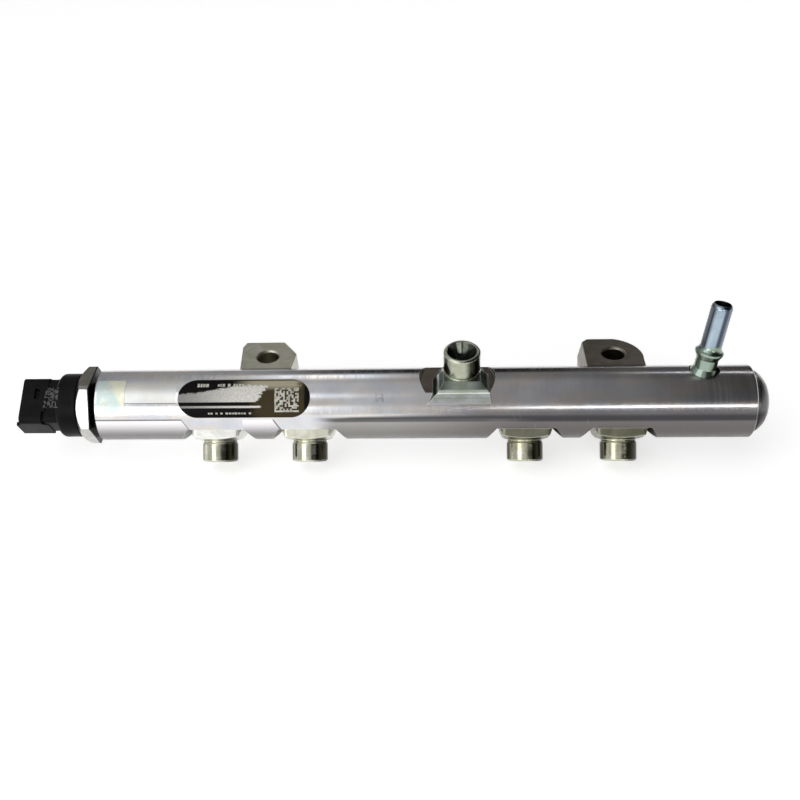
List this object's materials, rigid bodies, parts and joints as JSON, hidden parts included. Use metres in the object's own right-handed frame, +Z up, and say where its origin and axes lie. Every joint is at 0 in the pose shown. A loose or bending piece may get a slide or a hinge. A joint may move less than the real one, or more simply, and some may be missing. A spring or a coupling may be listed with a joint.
{
  "type": "fuel rail",
  "caption": "Round forged fuel rail with angled outlet studs, a pump inlet, a return spigot, mounting lugs, a pressure sensor, and a sprung relief valve behind an end plug.",
  "frame": {"origin": "midway between the two bolt holes, on the seat face under the lugs", "axes": "+X along the rail from the pressure sensor to the end plug, +Z up along the bolts, -Y towards the side the outlets lean to"},
  "size_m": [0.2933, 0.0458, 0.0631],
  "materials": {
    "zinc_forging": "bright zinc plate over a smooth forging",
    "sensor_steel": "clean machined steel",
    "plug_steel": "dark plated steel",
    "spigot_zinc": "blue zinc plate",
    "valve_steel": "ground steel",
    "spring_steel": "drawn spring steel",
    "black_plastic": "moulded, slightly satin",
    "carrier_plastic": "natural moulded plastic",
    "board": "green solder mask",
    "chip": "moulded package",
    "contact_metal": "plated brass",
    "seal_rubber": "matt",
    "silver_label": "silvery foil",
    "black_label": "glossy film"
  },
  "bodies": {
    "rail": {"rail_body": "zinc_forging", "sensor_pressure_port": "sensor_steel", "sensor_seal_ring": "seal_rubber", "sensor_diaphragm": "sensor_steel", "sensor_strain_gauge": "chip", "sensor_board_carrier": "carrier_plastic", "sensor_circuit_board": "board", "sensor_circuit_chip": "chip", "sensor_contact_spring_1": "spring_steel", "sensor_contact_spring_2": "spring_steel", "sensor_contact_spring_3": "spring_steel", "sensor_terminal_1": "contact_metal", "sensor_terminal_2": "contact_metal", "sensor_terminal_3": "contact_metal", "sensor_connector_shell": "black_plastic", "valve_body": "valve_steel", "valve_spring": "spring_steel", "spring_shim": "valve_steel", "end_plug": "plug_steel", "plug_seal_ring": "seal_rubber", "return_spigot": "spigot_zinc", "security_label": "silver_label", "data_label": "black_label"},
    "relief_plunger": {"valve_plunger": "valve_steel"}
  },
  "joints": [
    {"name": "relief_valve_lift", "type": "slide", "parent": "rail", "child": "relief_plunger", "axis": [1, 0, 0], "range_m": [0, 0.001], "stiffness_N_per_m": 500, "springref_m": -0.0005, "deforming": ["valve_spring"]}
  ]
}
